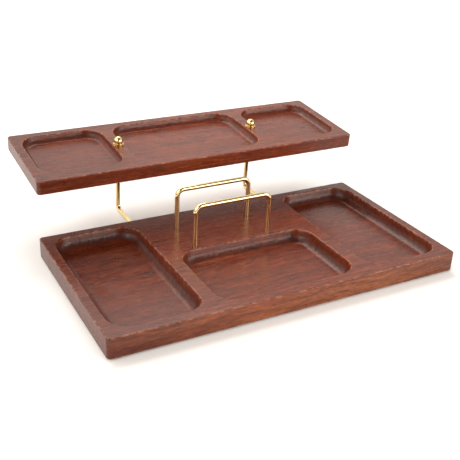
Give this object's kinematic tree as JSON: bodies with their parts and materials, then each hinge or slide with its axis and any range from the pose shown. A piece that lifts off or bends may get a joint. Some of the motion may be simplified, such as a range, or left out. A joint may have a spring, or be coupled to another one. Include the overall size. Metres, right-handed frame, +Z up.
{
  "type": "two-tier desk valet",
  "caption": "Two-tier wooden desk valet: a pocketed base with wire letter hoops, and a narrower pocketed tray held above and behind it on bent rods with ball nuts.",
  "frame": {"origin": "on the surface that the valet stands on, under the middle of its overall length and depth", "axes": "+X along its length, to the right seen from the front; +Y towards the back; +Z up"},
  "size_m": [0.3556, 0.2898, 0.0943],
  "materials": {
    "base_wood": "red-brown walnut with a satin lacquer",
    "tray_wood": "red-brown walnut with a satin lacquer",
    "brass_wire": "polished and lacquered",
    "brass_fastener": "polished",
    "felt": "dense brown felt"
  },
  "bodies": {
    "base": {"base_board": "base_wood", "hoop_front": "brass_wire", "hoop_back": "brass_wire", "support_rod_left": "brass_wire", "support_rod_right": "brass_wire", "jam_nut_left": "brass_fastener", "jam_nut_right": "brass_fastener", "under_washer_left": "brass_fastener", "under_washer_right": "brass_fastener", "felt_pad_front_left": "felt", "felt_pad_front_right": "felt", "felt_pad_back_left": "felt", "felt_pad_back_right": "felt"},
    "tray": {"upper_tray": "tray_wood"},
    "washer_left": {"top_washer_left": "brass_fastener"},
    "washer_right": {"top_washer_right": "brass_fastener"},
    "ball_left": {"ball_nut_left": "brass_fastener"},
    "ball_right": {"ball_nut_right": "brass_fastener"}
  },
  "joints": [
    {"name": "tray_lift", "type": "slide", "parent": "base", "child": "tray", "axis": [0, -0.0741, 0.9973], "range_m": [0, 0.024]},
    {"name": "ball_nut_left_rise", "type": "slide", "parent": "tray", "child": "washer_left", "axis": [0, -0.0741, 0.9973], "range_m": [0, 0.00476]},
    {"name": "ball_nut_left_turn", "type": "hinge", "parent": "washer_left", "child": "ball_left", "pos_m": [-0.0776, 0.08954, 0.08674], "axis": [0, -0.0741, 0.9973], "range_deg": [0, 2160]},
    {"name": "ball_nut_right_rise", "type": "slide", "parent": "tray", "child": "washer_right", "axis": [0, -0.0741, 0.9973], "range_m": [0, 0.00476]},
    {"name": "ball_nut_right_turn", "type": "hinge", "parent": "washer_right", "child": "ball_right", "pos_m": [0.0776, 0.08954, 0.08674], "axis": [0, -0.0741, 0.9973], "range_deg": [0, 2160]}
  ],
  "couplings": [
    {"joint": "ball_nut_left_turn", "follows": "ball_nut_left_rise", "rad_per_m": 7915.8},
    {"joint": "ball_nut_right_turn", "follows": "ball_nut_right_rise", "rad_per_m": 7915.8}
  ]
}
